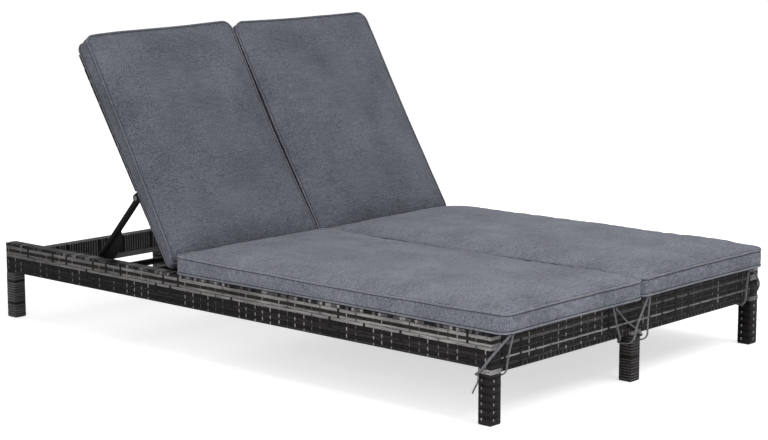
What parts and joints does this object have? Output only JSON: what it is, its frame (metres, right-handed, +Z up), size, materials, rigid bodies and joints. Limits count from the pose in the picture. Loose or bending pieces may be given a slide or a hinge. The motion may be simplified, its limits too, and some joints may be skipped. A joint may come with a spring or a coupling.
{
  "type": "double chaise lounger",
  "caption": "Low woven rattan lounger for two with a full-width reclining backrest on a swing prop, square legs, and tied-on padded cushions.",
  "frame": {"origin": "centre of the footprint on the floor, with the backrest raised", "axes": "+X across to the right rail as seen from the foot, +Y from foot to head, +Z up"},
  "size_m": [1.2226, 1.918, 0.8716],
  "materials": {
    "rattan": "mixed charcoal, black and grey woven flat strands",
    "rattan_deck": "mixed charcoal and grey woven flat strands",
    "seat_fabric": "blue-grey woven polyester",
    "back_fabric": "blue-grey woven polyester",
    "tape": "grey woven tape",
    "black_plastic": "moulded nylon",
    "zinc_steel": "zinc plated",
    "black_steel": "black powder coat"
  },
  "bodies": {
    "base": {"bracket_bolts": "zinc_steel", "corner_brackets": "black_steel", "foot_apron_skin": "rattan", "foot_frame": "black_steel", "foot_glides": "black_plastic", "foot_lower_bars": "rattan", "head_frame": "black_steel", "head_rail_skin": "rattan", "hinge_cross_tube": "black_steel", "hinge_plate_left": "black_steel", "hinge_plate_right": "black_steel", "leg_left_foot": "black_steel", "leg_left_head": "black_steel", "leg_middle_foot": "black_steel", "leg_middle_head": "black_steel", "leg_right_foot": "black_steel", "leg_right_head": "black_steel", "leg_sleeve_left_foot": "rattan", "leg_sleeve_left_head": "rattan", "leg_sleeve_middle_foot": "rattan", "leg_sleeve_middle_head": "rattan", "leg_sleeve_right_foot": "rattan", "leg_sleeve_right_head": "rattan", "pivot_bolts": "zinc_steel", "pivot_spacers": "black_plastic", "rack_left": "black_steel", "rack_right": "black_steel", "rack_screws": "zinc_steel", "rear_cross_tube": "black_steel", "seat_centre_beam": "black_steel", "seat_cushion_left": "seat_fabric", "seat_cushion_right": "seat_fabric", "seat_deck": "rattan_deck", "seat_slats": "black_steel", "side_frame_left": "black_steel", "side_frame_right": "black_steel", "side_skin_left": "rattan", "side_skin_right": "rattan", "tie_left_corner": "tape", "tie_left_middle": "tape", "tie_left_tail": "tape", "tie_right_corner": "tape", "tie_right_middle": "tape"},
    "back": {"back_bottom_tube": "black_steel", "back_centre_tube": "black_steel", "back_cushion_left": "back_fabric", "back_cushion_right": "back_fabric", "back_deck": "rattan_deck", "back_edge_wrap_left": "rattan", "back_edge_wrap_right": "rattan", "back_side_tube_left": "black_steel", "back_side_tube_right": "black_steel", "back_top_tube": "black_steel", "prop_ears": "black_steel", "prop_pins": "zinc_steel", "pivot_bushes": "black_plastic"},
    "prop": {"prop_arm_left": "black_steel", "prop_arm_right": "black_steel", "prop_foot_bar": "black_steel", "foot_bar_plugs": "black_plastic"}
  },
  "joints": [
    {"name": "back_hinge", "type": "hinge", "parent": "base", "child": "back", "pos_m": [0, 0.25, 0.211], "axis": [1, 0, 0], "range_deg": [-57.5, 0]},
    {"name": "prop_hinge", "type": "hinge", "parent": "back", "child": "prop", "pos_m": [0, 0.40978, 0.41156], "axis": [1, 0, 0], "range_deg": [0, 104.8]}
  ],
  "couplings": [
    {"joint": "prop_hinge", "follows": "back_hinge", "ratio": -1.8219}
  ]
}
